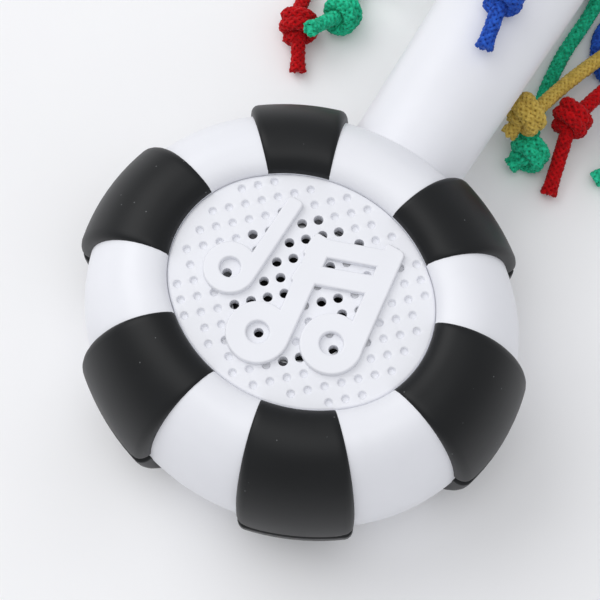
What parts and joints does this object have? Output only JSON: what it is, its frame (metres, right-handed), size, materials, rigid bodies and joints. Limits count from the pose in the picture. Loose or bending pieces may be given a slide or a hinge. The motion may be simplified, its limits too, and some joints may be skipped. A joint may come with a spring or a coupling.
{
  "type": "shaker toy",
  "caption": "Oval music head with a note grille and soft bumper pads on a round handle, ending in a ball hub threaded with knotted pull cords.",
  "frame": {"origin": "middle of the footprint on the table, without the cords, with the toy lying on its back", "axes": "+X across the handle, +Y from the head to the hub, +Z out of the grille"},
  "size_m": [0.0812, 0.1708, 0.0455],
  "materials": {
    "white_plastic": "satin moulded plastic",
    "black_rubber": "soft satin rubber",
    "grey_foam": "matt foam",
    "pressed_steel": "plated",
    "speaker_paper": "matt pressed paper",
    "magnet_iron": "dull plated",
    "circuit_green": "lacquered board",
    "black_plastic": "moulded",
    "brass": "polished",
    "wire_sleeve": "insulated wire",
    "bead_plastic": "moulded",
    "red_cord": "braided",
    "blue_cord": "braided",
    "yellow_cord": "braided",
    "green_cord": "braided",
    "mint_cord": "braided"
  },
  "bodies": {
    "toy": {"head_front_shell": "white_plastic", "head_rear_shell": "white_plastic", "speaker_grille": "white_plastic", "handle_tube": "white_plastic", "handle_plug": "white_plastic", "hub_front_shell": "white_plastic", "hub_end_shell": "white_plastic", "front_pad_1": "black_rubber", "front_pad_2": "black_rubber", "front_pad_3": "black_rubber", "front_pad_4": "black_rubber", "front_pad_5": "black_rubber", "front_pad_6": "black_rubber", "rear_pad_1": "black_rubber", "rear_pad_2": "black_rubber", "rear_pad_3": "black_rubber", "rear_pad_4": "black_rubber", "rear_pad_5": "black_rubber", "rear_pad_6": "black_rubber", "speaker_gasket": "grey_foam", "speaker_frame": "pressed_steel", "board_screws": "pressed_steel", "shell_screws": "pressed_steel", "battery_contact_plate": "pressed_steel", "battery_contact_spring": "pressed_steel", "shake_sensor_can": "pressed_steel", "battery_cells": "pressed_steel", "power_switch_body": "pressed_steel", "speaker_cone": "speaker_paper", "speaker_magnet": "magnet_iron", "circuit_board": "circuit_green", "sound_chip": "black_plastic", "shake_sensor_base": "black_plastic", "speaker_wires": "wire_sleeve", "battery_wires": "wire_sleeve", "red_cord_right": "red_cord", "red_cord_left": "red_cord", "red_cord_knots": "red_cord", "blue_cord_low": "blue_cord", "blue_cord_top": "blue_cord", "blue_cord_knots": "blue_cord", "yellow_cord_right": "yellow_cord", "yellow_cord_left": "yellow_cord", "yellow_cord_knots": "yellow_cord", "green_cord_right": "green_cord", "green_cord_left": "green_cord", "green_cord_knots": "green_cord", "mint_cord_right": "mint_cord", "mint_cord_left": "mint_cord", "mint_cord_knots": "mint_cord"},
    "switch_knob": {"power_switch_knob": "black_plastic"},
    "battery_cover": {"battery_door": "white_plastic", "door_screws": "pressed_steel"},
    "sensor_ball": {"shake_sensor_ball": "brass"},
    "bead_1": {"rattle_bead_1": "bead_plastic"},
    "bead_2": {"rattle_bead_2": "bead_plastic"},
    "bead_3": {"rattle_bead_3": "bead_plastic"},
    "bead_4": {"rattle_bead_4": "bead_plastic"}
  },
  "joints": [
    {"name": "power_switch", "type": "slide", "parent": "toy", "child": "switch_knob", "axis": [1, 0, 0], "range_m": [0, 0.004]},
    {"name": "battery_cover_out", "type": "slide", "parent": "toy", "child": "battery_cover", "axis": [0, 0, -1], "range_m": [0, 0.012]},
    {"name": "sensor_ball_run", "type": "slide", "parent": "toy", "child": "sensor_ball", "axis": [-1, 0, 0], "range_m": [0, 0.0047]},
    {"name": "bead_1_run", "type": "slide", "parent": "toy", "child": "bead_1", "axis": [0, 1, 0], "range_m": [0, 0.0165]},
    {"name": "bead_2_run", "type": "slide", "parent": "toy", "child": "bead_2", "axis": [0, 1, 0], "range_m": [0, 0.0165]},
    {"name": "bead_3_run", "type": "slide", "parent": "toy", "child": "bead_3", "axis": [0, 1, 0], "range_m": [0, 0.0165]},
    {"name": "bead_4_run", "type": "slide", "parent": "toy", "child": "bead_4", "axis": [0, 1, 0], "range_m": [0, 0.0165]}
  ]
}
